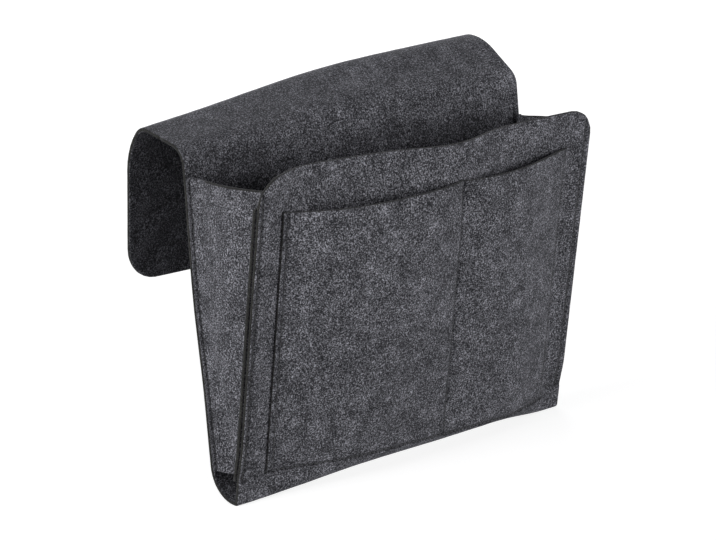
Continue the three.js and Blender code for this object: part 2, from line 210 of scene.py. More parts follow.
def softbox(name, azimuth, elevation, watts):
    """Square soft lamp that looks at the caddy from an angle in degrees."""
    lamp = bpy.data.lights.new(name, "AREA")
    lamp.size = LAMP_SIZE
    lamp.energy = watts
    away = direction(azimuth, elevation)
    holder = add_object(name, lamp, away)
    holder.location = LAMP_AIM + away * LAMP_DISTANCE
    return holder


lamps = [
    softbox("front_softbox", azimuth=11, elevation=10, watts=40),
    softbox("left_softbox", azimuth=-94, elevation=12, watts=47),
    softbox("rear_softbox", azimuth=150, elevation=8, watts=25),
]
print("lamps:", [lamp.name for lamp in lamps])

# %% [markdown]
# The felt is pressed polyester: staple fibres, some nearly black and some pale grey, needled into a mat
# and pressed flat. The eye sees salt-and-pepper flecks about a millimetre across, curly pale fibres a few
# millimetres long, and soft clouds where the mix of fibres changes. It could be an image, but noise in
# three dimensions needs no unwrapping and runs on over folds and cut edges. The flecks are drawn coarser
# than in real felt, so that they show at this distance. Where a seam pulls the fibres down they lie close
# and look darker, and the shade that falls in the seam's groove is painted into the colour as well: each
# sheet says how strongly it is sewn at each point, and the material darkens the felt by that amount.

# %% Pressed felt
FLECK_MM = 1.1
FIBRE_MM = 5.0
CLOUD_MM = 14.0
FIBRE_SHARE = 0.10
CLOUD_SHARE = 0.16
MIX_MIDDLE = 0.645
MIX_SPREAD = 0.125
# Colour multiplied in where a seam presses: partly the pressed fibres, partly painted shade in the groove.
SEAM_PRESS_AND_SHADE_TINT = "#6a6a6c"


def per_metre(size_mm):
    """Noise scale that gives features of a size in millimetres."""
    return 1 / (size_mm * MILLIMETRE)


def bumped_surface(tree, height, strength, bump_mm, inputs):
    """Ends a material's tree with a surface of these inputs, under bumps that follow a height."""
    bump = add_node(tree, "ShaderNodeBump",
                    {"Height": height, "Strength": strength, "Distance": bump_mm * MILLIMETRE})
    surface = add_node(tree, "ShaderNodeBsdfPrincipled", {"Normal": bump.outputs["Normal"], **inputs})
    add_node(tree, "ShaderNodeOutputMaterial", {"Surface": surface.outputs[0]})


def felt_material(name, colours, fleck_mm, bump_mm):
    """Needled felt with flecks, fibres and clouds; colours are dark, middle and light."""
    material = empty_material(name)
    tree = material.node_tree
    place = add_node(tree, "ShaderNodeTexCoord").outputs["Object"]
    fleck = add_node(tree, "ShaderNodeTexNoise",
                     {"Vector": place, "Scale": per_metre(fleck_mm), "Detail": 3.0, "Roughness": 0.65})
    fibre = add_node(tree, "ShaderNodeTexNoise",
                     {"Vector": place, "Scale": per_metre(FIBRE_MM), "Detail": 2.0, "Distortion": 1.2},
                     noise_type="RIDGED_MULTIFRACTAL")
    cloud = add_node(tree, "ShaderNodeTexNoise",
                     {"Vector": place, "Scale": per_metre(CLOUD_MM), "Detail": 2.0})
    with_fibres = calculate(tree, "MULTIPLY_ADD", fibre.outputs["Fac"], FIBRE_SHARE, fleck.outputs["Fac"])
    mixed = calculate(tree, "MULTIPLY_ADD", cloud.outputs["Fac"], CLOUD_SHARE, with_fibres)
    ramp = add_node(tree, "ShaderNodeValToRGB", {"Fac": mixed})
    dark, middle, light = colours
    ramp.color_ramp.elements[0].position = MIX_MIDDLE - MIX_SPREAD
    ramp.color_ramp.elements[0].color = linear(dark)
    ramp.color_ramp.elements[1].position = MIX_MIDDLE + MIX_SPREAD
    ramp.color_ramp.elements[1].color = linear(light)
    ramp.color_ramp.elements.new(MIX_MIDDLE).color = linear(middle)
    # Darkened where sewn: partly the pressed fibres, partly painted shade in seam grooves, creases and rims.
    sewn = add_node(tree, "ShaderNodeAttribute", attribute_name="sewn").outputs["Fac"]
    colour = add_node(tree, "ShaderNodeMixRGB",
                      {"Fac": sewn, "Color1": ramp.outputs["Color"], "Color2": linear(SEAM_PRESS_AND_SHADE_TINT)},
                      blend_type="MULTIPLY")
    bumped_surface(tree, mixed, strength=0.6, bump_mm=bump_mm, inputs={
        "Base Color": colour.outputs["Color"], "Roughness": 0.95, "IOR": 1.45, "Specular IOR Level": 0.2,
        "Sheen Weight": 0.15, "Sheen Roughness": 0.5, "Sheen Tint": linear("#b9bac2")})
    return material


FACE_GREYS = ("#19191c", "#59595e", "#9b9ba3")
FACE_BUMP_MM = 0.5
pressed_felt = felt_material("pressed_polyester_felt", FACE_GREYS, FLECK_MM, FACE_BUMP_MM)
print("felt flecks per metre:", round(per_metre(FLECK_MM)))

# %% [markdown]
# A knife cuts the felt. At the cut edge the layers of fibre show end on and swallow the light, so it is
# finer, much darker and slightly warmer than the pressed face.

# %% Cut felt edge
CUT_GREYS = ("#131313", "#292927", "#41413e")
CUT_FLECK_MM = 0.9
CUT_BUMP_MM = 0.4
cut_felt = felt_material("cut_felt_edge", CUT_GREYS, CUT_FLECK_MM, CUT_BUMP_MM)
print("cut edge material:", cut_felt.name)

# %% [markdown]
# The seams are sewn with dark spun polyester thread. It is two plies twisted together, so it has a fine
# slanted ridge and a little more shine than the felt. The wave node draws nearly three ridges in each unit
# of length.

# %% Sewing thread
RIDGE_UNIT_MM = 3.0
RIDGE_HEIGHT_MM = 0.1
thread = empty_material("spun_polyester_thread")
tree = thread.node_tree
place = add_node(tree, "ShaderNodeTexCoord").outputs["Object"]
ply = add_node(tree, "ShaderNodeTexWave",
               {"Vector": place, "Scale": per_metre(RIDGE_UNIT_MM), "Distortion": 2.0},
               bands_direction="DIAGONAL")
tone = add_node(tree, "ShaderNodeValToRGB", {"Fac": ply.outputs["Fac"]})
tone.color_ramp.elements[0].color = linear("#141417")
tone.color_ramp.elements[1].color = linear("#2b2b30")
bumped_surface(tree, ply.outputs["Fac"], strength=0.5, bump_mm=RIDGE_HEIGHT_MM, inputs={
    "Base Color": tone.outputs["Color"], "Roughness": 0.6, "IOR": 1.5, "Sheen Weight": 0.1})
print("thread material:", thread.name)

# %% [markdown]
# Every felt piece is a sheet 3 mm thick. A solidify modifier could thicken a surface, but here the edges
# matter: a cut edge is softly rounded, while two sheets that stand for one folded strip must meet edge to
# edge with no line between them. So one builder takes a grid of middle points and makes both faces and the
# rim. A rounded side gets a soft edge, and a lip that is in the open keeps the look of the face while the
# cut beside it is dark. Felt that is turned over at the edge keeps that look all round, only shaded a
# little. A butted side is cut flat, or at a slant, and shaded as if it went on.

# %% Felt sheet builder
FELT = 3.0
EDGE_ROUND = 1.0
EDGE_STEPS = (0, 45, 90)
SEAM_DEPTH = 1.0
# Share of the seam's painted shade laid on a rim of felt turned over all round.
RIM_SHADE = 0.4
LUMP_MM = 11.0
LUMP_HEIGHT = 0.12


def unit(vectors):
    """Vectors scaled to length one."""
    return vectors / np.linalg.norm(vectors, axis=-1, keepdims=True)


def rim_loop(rows, columns):
    """Grid places round the rim, with the sides that each place is on."""
    places = [(0, c) for c in range(columns)] + [(r, columns - 1) for r in range(1, rows)]
    places += [(rows - 1, c) for c in range(columns - 2, -1, -1)] + [(r, 0) for r in range(rows - 2, 0, -1)]
    sides = []
    for r, c in places:
        tests = (("first_row", r == 0), ("last_row", r == rows - 1),
                 ("first_column", c == 0), ("last_column", c == columns - 1))
        sides.append([name for name, found in tests if found])
    return places, sides


def edge_profile():
    """Steps of a rounded edge: how far out, and how high above the middle."""
    upper = []
    for angle in np.radians(EDGE_STEPS):
        upper.append((EDGE_ROUND * math.sin(angle), FELT / 2 - EDGE_ROUND + EDGE_ROUND * math.cos(angle)))
    return upper + [(out, -height) for out, height in reversed(upper)]


def mesh_piece(name, points, faces, materials):
    """Smooth-shaded mesh object from points in millimetres."""
    mesh = bpy.data.meshes.new(name)
    mesh.from_pydata([tuple(point) for point in to_frame(points)], [], faces)
    for material in materials:
        mesh.materials.append(material)
    mesh.polygons.foreach_set("use_smooth", [True] * len(mesh.polygons))
    return add_object(name, mesh)


def sheet_faces(rows, columns, places, between):
    """Faces of both sides and the rim, and the rim's rings of points, some of them between the sides."""
    count = len(places)
    inner_start = rows * columns + between * count
    faces = []
    for r in range(rows - 1):
        for c in range(columns - 1):
            corner = r * columns + c
            quad = (corner, corner + 1, corner + columns + 1, corner + columns)
            faces.append(quad)
            faces.append(tuple(inner_start + index for index in reversed(quad)))
    rings = [[r * columns + c for r, c in places]]
    for ring in range(between):
        rings.append([rows * columns + ring * count + place for place in range(count)])
    rings.append([inner_start + r * columns + c for r, c in places])
    for upper, lower in zip(rings, rings[1:]):
        for place in range(count):
            after = (place + 1) % count
            faces.append((upper[place], lower[place], lower[after], upper[after]))
    return faces, rings


def felt_sheet(name, middle, sewn, thinned=0.0, butted=None, lips="outer"):
    """Felt about a grid of middle points, pressed where it is sewn; butted sides give their slant."""
    butted = butted or {}
    rows, columns = middle.shape[:2]
    across = np.gradient(middle, axis=1)
    upward = np.gradient(middle, axis=0)
    normal = unit(np.cross(across, upward))
    lumps = [[noise.noise(Vector(point) / LUMP_MM) for point in row] for row in middle]
    middle = middle + normal * (LUMP_HEIGHT * np.array(lumps))[..., None]
    half_felt = (FELT / 2 - np.maximum(SEAM_DEPTH * sewn, thinned))[..., None]
    down = unit(np.cross(across, normal))
    aside = unit(np.cross(normal, upward))
    outward = {"first_row": down, "last_row": -down, "first_column": aside, "last_column": -aside}
    places, sides = rim_loop(rows, columns)
    profile = edge_profile()
    points = [*(middle + normal * half_felt).reshape(-1, 3)]
    for out, height in profile[1:-1]:
        for (r, c), names in zip(places, sides):
            soft = [outward[side][r, c] for side in names if side not in butted]
            hard = [outward[side][r, c] * butted[side] for side in names if side in butted]
            step = np.zeros(3)
            if len(soft) == 2:
                step = (soft[0] + soft[1]) / (1 + soft[0] @ soft[1]) * out
            elif soft:
                step = soft[0] * out
            lift = height * half_felt[r, c] / (FELT / 2)
            points.append(middle[r, c] + step + sum(hard, np.zeros(3)) * lift + normal[r, c] * lift)
    inner_start = len(points)
    points += [*(middle - normal * half_felt).reshape(-1, 3)]
    for (r, c), names in zip(places, sides):
        for side in names:
            slant = outward[side][r, c] * (butted.get(side, 0) * FELT / 2)
            points[r * columns + c] += slant
            points[inner_start + r * columns + c] -= slant
    faces, rings = sheet_faces(rows, columns, places, len(profile) - 2)
    count = len(places)
    rim_start = len(faces) - count * (len(rings) - 1)
    piece = mesh_piece(name, points, faces, (pressed_felt, cut_felt))
    # Painted shade: the sewn attribute darkens the colour where seams and creases press, and a rim turned
    # over all round gets RIM_SHADE of it.
    shade = np.full(len(points), RIM_SHADE if lips == "all" else 0.0)
    shade[:rows * columns] = shade[inner_start:] = sewn.ravel()
    piece.data.attributes.new("sewn", "FLOAT", "POINT").data.foreach_set("value", shade)
    cut_start = rim_start + (count if lips in ("outer", "both") else 0)
    cut_end = len(faces) - (count if lips == "both" else 0)
    for polygon in piece.data.polygons[cut_start:cut_end]:
        polygon.material_index = 0 if lips == "all" else 1
    hard_edges = set()
    for ring in (rings[0], rings[-1]):
        for place in range(count):
            after = (place + 1) % count
            if any(side in butted for side in sides[place] if side in sides[after]):
                hard_edges.add(tuple(sorted((ring[place], ring[after]))))
    for edge in piece.data.edges:
        edge.use_edge_sharp = tuple(sorted(edge.vertices)) in hard_edges
    print(name, "has", len(piece.data.vertices), "points")
    return piece


print("edge profile:", [(round(out, 2), round(height, 2)) for out, height in edge_profile()])

# %% [markdown]
# Four small helpers do most of the shaping. One goes a share of the way from one value to another, and one
# eases from 0 to 1 without a corner. One is a smooth hump that fades to nothing at its reach, which may
# differ on its two sides. The last goes round a bend.

# %% Curve helpers
def between(start, end, share):
    """Value at a share of the way from start to end."""
    return start + (end - start) * share


def ease(value, start, end):
    """Smooth step from 0 at start to 1 at end."""
    share = np.clip((value - start) / (end - start), 0, 1)
    return share * share * (3 - 2 * share)


def hump(x, place, left_reach, right_reach):
    """Smooth hump of height one at a place, down to nothing at its reach on each side."""
    reach = np.where(x < place, left_reach, right_reach)
    return np.cos(math.pi / 2 * np.minimum(1, np.abs(x - place) / reach)) ** 2


def arc(radius, start, end):
    """How far along and how far up a bend goes, as it flattens from one slope to another."""
    return radius * (np.sin(start) - np.sin(end)), radius * (np.cos(end) - np.cos(start))


print("ease and hump at a quarter:", float(ease(0.25, 0, 1)), round(float(hump(0.25, 0, 1, 1)), 3))

# %% [markdown]
# The strip is folded under the caddy. At its two ends the gussets hold it in a sharp crease at the front
# and a wide sweep at the back. Between them the felt is free: it rounds into a trough, lifts off the table
# and lets the front belly forward. Felt doesn't stretch, so the strip is equally long everywhere from the
# sweep to the foot line, and the flat in the trough's floor takes up what the bends leave.

# %% Trough under the caddy
WIDTH = 330.0
HALF = WIDTH / 2
FRONT_LEAN = math.radians(6.8)
BACK_LEAN = math.radians(7)
FRONT_TURN = math.pi / 2 - FRONT_LEAN
REAR_TURN = math.pi / 2 - BACK_LEAN
SWEEP_MIDDLE = 24.5
CREASE_MIDDLE = 1.6
BASE_DEPTH = 28.842
FOOT_LINE = 22.0
SLACK_FROM = 155.0
SLACK_FULL_LEFT = 50.0
SLACK_FULL_RIGHT = 85.0
TROUGH_SWEEP = 17.5
TROUGH_CREASE = 14.8
FLOOR_JOIN = 0.5
SWEEP_RUN = (SWEEP_MIDDLE + FELT / 2) * math.tan(REAR_TURN / 2)
CREASE_RUN = (CREASE_MIDDLE + FELT / 2) * math.tan(FRONT_TURN / 2)
BASE_FLAT = BASE_DEPTH - SWEEP_RUN - CREASE_RUN
END_STRAIGHT = FOOT_LINE - CREASE_RUN
STRIP_UNDER = SWEEP_MIDDLE * REAR_TURN + BASE_FLAT + CREASE_MIDDLE * FRONT_TURN + END_STRAIGHT
BACK_UP = np.array((0, math.sin(BACK_LEAN), math.cos(BACK_LEAN)))
BACK_IN = np.array((0, -math.cos(BACK_LEAN), math.sin(BACK_LEAN)))
FRONT_UP = np.array((0, -math.sin(FRONT_LEAN), math.cos(FRONT_LEAN)))
FRONT_OUT = np.array((0, -math.cos(FRONT_LEAN), -math.sin(FRONT_LEAN)))
SWEEP_TOP = BACK_UP * SWEEP_RUN + BACK_IN * FELT / 2


def trough(x):
    """Sweep radius, flat, crease radius and straight length of the strip under the caddy at x."""
    slack_full = np.where(x < 0, SLACK_FULL_LEFT, SLACK_FULL_RIGHT)
    slack = 1 - ease(np.abs(x), slack_full, SLACK_FROM)
    sweep = between(SWEEP_MIDDLE, TROUGH_SWEEP, slack)
    crease = between(CREASE_MIDDLE, TROUGH_CREASE, slack)
    straight = END_STRAIGHT * (1 - slack)
    flat = STRIP_UNDER - sweep * REAR_TURN - crease * FRONT_TURN - straight
    return sweep, flat, crease, straight


def strip_points(x, forward, height):
    """Points at x from distances forward of the sweep's top and above the floor."""
    x, forward, height = np.broadcast_arrays(x, forward, height)
    return np.stack((x, SWEEP_TOP[1] - forward, height), axis=-1)


def sweep_point(x, turned):
    """Point on the rear sweep, from 0 turned at its top to 1 on the floor."""
    forward, down = arc(trough(x)[0], REAR_TURN, REAR_TURN * (1 - turned))
    return strip_points(x, forward, SWEEP_TOP[2] - down)


def floor_point(x, share):
    """Point on the flat of the trough, from its rear at 0 to its front at 1."""
    sweep, flat = trough(x)[:2]
    forward, down = arc(sweep, REAR_TURN, 0)
    return strip_points(x, forward + flat * share, SWEEP_TOP[2] - down)


lift_at_middle = floor_point(0.0, FLOOR_JOIN)[2] - FELT / 2
print("the trough's underside is", round(float(lift_at_middle), 1), "mm above the table at the middle")

# %% [markdown]
# The front panel rises from the trough with a slight lean. It isn't flat: it bellies out low down, is
# pushed out at the pockets' dividing seam, and its top edge runs in a shallow S, out at the middle and in
# at the left. A hump for each of these, eased in with the height, gives the whole surface.

# %% Front surface
FRONT_HEIGHT = 255.0
MOUTH_HEIGHT = 205.0
BELLY_FROM = 30.0
TOP_BEND_FROM = 185.0
TOP_BEND_POWER = 1.6
RIPPLE_MM = 70.0
RIPPLE_HEIGHT = 0.7
RIPPLE_ENDS = (145, 157)
DIVIDER = 21.0
MOUTH_BELLY = 16.0
MOUTH_REACH = 115.0
EDGE_BELLY = 11.0
EDGE_PLACE = 14.0
EDGE_REACH = 62.0
EDGE_TUCK = 9.0
TUCK_PLACE = -118.0
TUCK_REACHES = (37.0, 100.0)


def front_foot(x):
    """Point of the front's foot line at x, where the trough ends."""
    sweep, flat, crease, straight = trough(x)
    forward, down = arc(sweep, REAR_TURN, 0)
    crease_forward, up = arc(crease, FRONT_TURN, 0)
    forward = forward + crease_forward + flat + straight * math.sin(FRONT_LEAN)
    return strip_points(x, forward, SWEEP_TOP[2] - down + (up + straight * math.cos(FRONT_LEAN)))


def front_surface(x, height, offset=0.0):
    """Middle of the front at x and a height up the strip, moved outward by an offset."""
    x, height = np.broadcast_arrays(x, height)
    crease, straight = trough(x)[2:]
    below = np.maximum(0, FOOT_LINE - height)
    down_straight = np.minimum(below, straight)
    angle = FRONT_TURN - (below - down_straight) / crease
    foot = front_foot(x)
    low = (foot - front_foot(HALF)) @ FRONT_OUT
    mouth = MOUTH_BELLY * hump(x, DIVIDER, MOUTH_REACH, MOUTH_REACH)
    tuck = EDGE_TUCK * hump(x, TUCK_PLACE, *TUCK_REACHES)
    edge = EDGE_BELLY * hump(x, EDGE_PLACE, EDGE_REACH, EDGE_REACH) - tuck
    climb = ease(height, BELLY_FROM, MOUTH_HEIGHT)
    top = np.maximum(0, (height - TOP_BEND_FROM) / (FRONT_HEIGHT - TOP_BEND_FROM)) ** TOP_BEND_POWER
    ripple = np.vectorize(lambda a, b: noise.noise(Vector((a, b, 0)) / RIPPLE_MM))(x, height)
    hold = 1 - ease(np.abs(x), *RIPPLE_ENDS)
    belly = (mouth - low) * climb + (edge - mouth) * top + RIPPLE_HEIGHT * ripple * hold
    climbed = np.maximum(0, height - FOOT_LINE) - down_straight
    points = foot + climbed[..., None] * FRONT_UP + belly[..., None] * FRONT_OUT
    curl_back, curl_down = arc(crease, FRONT_TURN, angle)
    points[..., 1] += curl_back
    points[..., 2] -= curl_down
    out = np.stack((np.zeros_like(angle), -np.sin(angle), -np.cos(angle)), axis=-1)
    return points + out * np.asarray(offset)[..., None]


def corner_cut(x, half, radius):
    """How far a rounded corner cuts a sheet's end back at x."""
    over = np.clip(np.abs(x) - (half - radius), 0, radius)
    return radius - np.sqrt(radius ** 2 - over ** 2)


print("front's belly at the foot line:", round(float(front_foot(HALF)[1] - front_foot(0.0)[1]), 1), "mm")

# %% [markdown]
# The front sheet starts in the middle of the trough's floor, where it meets the back sheet edge to edge,
# and ends at its own top edge with two rounded corners. A seam runs 4 to 6 mm inside each side edge. The
# foot of the machine presses the felt there, so the sheet is thinner along the line and its colour is
# darker, partly for the pressed fibres and partly as painted shade in the groove, and the free margin
# flares forward a little. A pressed crease crosses each margin just above the table, where the strip turns
# under; it is pressed in as a groove and painted darker, as the shade in its fold.

# %% Front sheet
CORNER_RADIUS = 20.0
CORNER_ANGLES = (15, 30, 37)
SPAN_COLUMNS = 58
LOW_ROWS = 22
FRONT_ROWS = 48
RIM_STEP = 0.6
EDGE_SEAMS = {-1: HALF - 3.6, 1: HALF - 5.8}
SEAM_WIDTH = 1.2
SEAM_STEPS = SEAM_WIDTH * np.array((-2, -1, 0, 1))
GUSSET_FOOT = 19.5
FOOT_FADE = (16.5, 22.5)
FOOT_CREASE = 21.0
FOOT_CREASE_SHARE = 0.8
CREASE_ENDS = (138, 150)
FLARE = 1.8
FLARE_ENDS = (146, 158)
FLARE_HEIGHTS = (20, 45)


def strip_columns():
    """Places across the strip inside its soft edges, closer together at the corners."""
    shoulder = HALF - CORNER_RADIUS
    arc = shoulder + (CORNER_RADIUS - EDGE_ROUND) * np.sin(np.radians(CORNER_ANGLES))
    rim = [HALF - EDGE_ROUND - RIM_STEP, HALF - EDGE_ROUND]
    left, right = (np.concatenate((arc, EDGE_SEAMS[side] + SEAM_STEPS, rim)) for side in (-1, 1))
    return np.concatenate((-left[::-1], np.linspace(-shoulder, shoulder, SPAN_COLUMNS), right))


def seam_press(distance):
    """How strongly a seam presses the felt at a distance from its line, 1 on it."""
    return np.exp(-(distance / SEAM_WIDTH) ** 2)


def edge_press(x):
    """How strongly the seams along the strip's two edges press it at x."""
    return seam_press(x - EDGE_SEAMS[1]) + seam_press(x + EDGE_SEAMS[-1])


def flare(x, height):
    """How far the margin outside the pockets stands forward of the front's surface."""
    return FLARE * ease(np.abs(x), *FLARE_ENDS) * ease(height, *FLARE_HEIGHTS)


columns = strip_columns()
crease, straight = trough(columns)[2:]
front_low = FOOT_LINE - straight - crease * FRONT_TURN
front_heights = [between(front_low, FOOT_LINE, share ** 2) for share in np.linspace(0, 1, LOW_ROWS)]
front_top = FRONT_HEIGHT - EDGE_ROUND - corner_cut(columns, HALF - EDGE_ROUND, CORNER_RADIUS - EDGE_ROUND)
front_heights += [between(FOOT_LINE, front_top, share) for share in np.linspace(0, 1, FRONT_ROWS)[1:]]
front_rows = [front_surface(columns, height, flare(columns, height)) for height in front_heights]
front_grid = np.array([floor_point(columns, FLOOR_JOIN)] + front_rows)
grid_heights = np.array([front_heights[0]] + front_heights)
at_ends = ease(np.abs(columns), *CREASE_ENDS)
# Painted shade: the crease above the table is pressed in and darkened like a seam.
crease_groove_and_shade = FOOT_CREASE_SHARE * seam_press(grid_heights - FOOT_CREASE) * at_ends
front_sewn = edge_press(columns) * ease(grid_heights, *FOOT_FADE) + crease_groove_and_shade
front_sheet = felt_sheet("front_sheet", front_grid, np.minimum(1, front_sewn), butted={"first_row": 0})

# %% [markdown]
# The back panel is the straightest part: a flat sheet that leans away, pulled a little forward at its
# right end and bowed a little backward at its left edge. Above it the strip is bent over by hand into the
# hook. The fold isn't square to the strip: the left end is low and flat, and the right end stands up in a
# steep arch. Three recipes of bends, for the left end, the middle and the right end, are mixed by a
# parabola, which keeps the fold smooth all along. The left half starts a little lower still, so the crest
# dips there. Behind the crest the strip turns down in a tight bend and then a slack curl, which is longest
# at the left.

# %% Back and hook
PULL_FORWARD = 5.0
PULL_PLACES = (-60, HALF)
PULL_RUNS = (110, 240)
BACK_BOW = 2.4
BOW_PLACES = (20, HALF)
BOW_RUN = 150.0
BOW_REACHES = (80.0, 105.0)
HOOK_DIP = 3.8
DIP_PLACE = -105.0
DIP_REACHES = (130.0, 150.0)
FLAP_SPLAY = math.radians(2)
FLAP_CORNER = 26.0
CURL_RADIUS = 50.0
HOOK_PARTS = ("first_bend", "span", "crest", "last_bend", "curl", "flap")
HOOK_RECIPES = {
    "run": (249.8, 258.2, 258.5),
    "rise": (9, 20, 33),
    "first_radius": (16, 17, 14),
    "span": (28, 29.5, 25),
    "crest_radius": (30, 30, 44),
    "last_radius": (13, 18, 20),
    "curl": (38, 16, 1),
    "flap_foot": (142.5, 140, 145),
}


def hook_value(name, x):
    """Value of the hook's recipe at x, through the left end, the middle and the right end."""
    left, middle, right = HOOK_RECIPES[name]
    t = x / HALF
    return middle + (right - left) / 2 * t + ((right + left) / 2 - middle) * t * t


def hook_start(x):
    """Run up the back at which the hook's first bend starts."""
    return hook_value("run", x) - HOOK_DIP * hump(x, DIP_PLACE, *DIP_REACHES)


def back_surface(x, run, offset=0.0):
    """Middle of the back at x and a run up from the floor, moved into the bag by an offset."""
    x, run = np.broadcast_arrays(x, run)
    points = run[..., None] * BACK_UP + BACK_IN * (FELT / 2 + offset)
    below = np.maximum(0, SWEEP_RUN - run)
    points += (SWEEP_MIDDLE - np.sqrt(SWEEP_MIDDLE ** 2 - below ** 2))[..., None] * BACK_IN
    points[..., 0] = x
    points[..., 1] -= PULL_FORWARD * ease(x, *PULL_PLACES) * ease(run, *PULL_RUNS)
    points[..., 1] += BACK_BOW * ease(-x, *BOW_PLACES) * hump(run, BOW_RUN, *BOW_REACHES)
    return points


def hook_point(x, part, share):
    """Point on a part of the hook, from 0 to 1 along it; the parts before it are walked to their ends."""
    stop = HOOK_PARTS.index(part)
    shares = [1] * stop + [share] + [0] * (len(HOOK_PARTS) - stop - 1)
    walked = dict(zip(HOOK_PARTS, shares))
    rise = np.radians(hook_value("rise", x))
    hang = FLAP_SPLAY - math.pi / 2
    bent = hang + np.radians(hook_value("curl", x))
    run = hook_value("span", x) * walked["span"]
    steps = (
        arc(hook_value("first_radius", x), REAR_TURN, between(REAR_TURN, rise, walked["first_bend"])),
        (run * np.cos(rise), run * np.sin(rise)),
        arc(hook_value("crest_radius", x), rise, rise * (1 - walked["crest"])),
        arc(hook_value("last_radius", x), 0, bent * walked["last_bend"]),
        arc(CURL_RADIUS, bent, between(bent, hang, walked["curl"])),
    )
    start = back_surface(x, hook_start(x))
    y, z = start[..., 1], start[..., 2]
    for along, up in steps:
        y, z = y + along, z + up
    cut = corner_cut(x, HALF - EDGE_ROUND, FLAP_CORNER - EDGE_ROUND)
    drop = (z - hook_value("flap_foot", x) - EDGE_ROUND - cut) * walked["flap"]
    y, z = y + drop * math.tan(FLAP_SPLAY), z - drop
    return np.stack(np.broadcast_arrays(x, y, z), axis=-1)


print("crest of the hook above the table, left, middle and right:",
      [round(float(hook_point(x, "crest", 1.0)[2] + FELT / 2)) for x in (-HALF, 0.0, HALF)])

# %% [markdown]
# The back sheet runs from the middle of the trough up the back and over the first bend, to the middle of
# the hook's span. The flap sheet takes over there and goes over the crest and down to the flap's rounded
# end. They butt together there, edge to edge.

# %% Back sheet and flap sheet
BACK_ROWS = 44
SWEEP_ROWS = 13
BEND_ROWS = 11
SPAN_SHARES = (0.25, 0.5, 0.75, 1.0)
FLAP_ROWS = {"crest": 7, "last_bend": BEND_ROWS, "curl": 6, "flap": 21}
HEAD_FADE = (236, 242)
back_runs = [between(SWEEP_RUN, hook_start(columns), share) for share in np.linspace(0, 1, BACK_ROWS)]
back_rows = [floor_point(columns, FLOOR_JOIN), floor_point(columns, 0.0)]
back_rows += [sweep_point(columns, turned) for turned in np.linspace(1, 0, SWEEP_ROWS)[1:]]
back_rows += [back_surface(columns, run) for run in back_runs[1:]]
back_rows += [hook_point(columns, "first_bend", share) for share in np.linspace(0, 1, BEND_ROWS)[1:]]
back_rows += [hook_point(columns, "span", share) for share in SPAN_SHARES[:2]]
back_grid = np.array(back_rows)
rear_heights = back_grid[..., 2]
back_sewn = edge_press(columns) * ease(rear_heights, *FOOT_FADE) * (1 - ease(rear_heights, *HEAD_FADE))
back_butts = {"first_row": 0, "last_row": 0}
back_sheet = felt_sheet("back_sheet", back_grid, back_sewn, butted=back_butts, lips="both")

flap_rows = [hook_point(columns, "span", share) for share in SPAN_SHARES[1:]]
for part, count in FLAP_ROWS.items():
    flap_rows += [hook_point(columns, part, share) for share in np.linspace(0, 1, count)[1:]]
flap_grid = np.array(flap_rows)
not_sewn = np.zeros(flap_grid.shape[:2])
flap_sheet = felt_sheet("flap_sheet", flap_grid, not_sewn, butted={"first_row": 0}, lips="both")

# %% [markdown]
# One more sheet is sewn on the front along its sides, its bottom and a line between two pockets, which
# slants a little. The wide left pocket stands well open, and the narrower right pocket is about half as
# open. Each mouth is a hump over the front's own surface that grows from the bottom seam upward.

# %% Pocket sheet
POCKET_HALF = 141.5
POCKET_TOP = 227.0
POCKET_SEAM = 137.5
POCKET_BASE = 22.0
BASE_SKEW = 9.0
LEFT_OPENING = 19.5
LEFT_LEAN = 0.8
RIGHT_OPENING = 11.3
SHEET_GAP = 0.15
LAYER = FELT + SHEET_GAP
BOTTOM_SEAM = 2.5
MOUTH_FOOT = 6.0
EDGE_PRESS = 0.45
SIDE_SEAM_SHARE = 0.6
DIVIDER_SHARE = 0.75
DIVIDER_FOOT = 1.5
DIVIDER_HEAD = -4.0
SLANT_REACHES = (100.0, 80.0)
SEAM_CLEAR = 4.0
LEFT_COLUMNS = 34
RIGHT_COLUMNS = 22
POCKET_ROWS = 44
ROWS_FROM = 0.04
SEAM_SHARES = (0, 0.004, 0.008, 0.0125, 0.0175, 0.025)


def pocket_base(x):
    """Height of the pocket sheet's bottom edge; the sheet is sewn on slightly askew."""
    return POCKET_BASE - BASE_SKEW * (x + POCKET_HALF) / (2 * POCKET_HALF)


def divider_shift(height):
    """How far the slanted dividing seam is from its middle place at a height."""
    return between(DIVIDER_FOOT, DIVIDER_HEAD, height / POCKET_TOP)


def pocket_opening(x, height):
    """How far the pocket sheet stands off the front."""
    divider = DIVIDER + divider_shift(height)
    left_share = np.clip((x + POCKET_SEAM) / (divider + POCKET_SEAM), 0, 1)
    right_share = np.clip((x - divider) / (POCKET_SEAM - divider), 0, 1)
    left_hump = LEFT_OPENING * np.sin(np.pi * left_share ** LEFT_LEAN)
    right_hump = RIGHT_OPENING * np.sin(np.pi * right_share)
    base = pocket_base(x) + MOUTH_FOOT
    climb = np.clip((height - base) / (POCKET_TOP - base), 0, 1)
    return (left_hump + right_hump) * np.sin(np.pi / 2 * climb)


def pocket_surface(x, height, offset=0.0):
    """Middle of the pocket sheet, moved outward by an offset."""
    return front_surface(x, height, LAYER + pocket_opening(x, height) + offset)


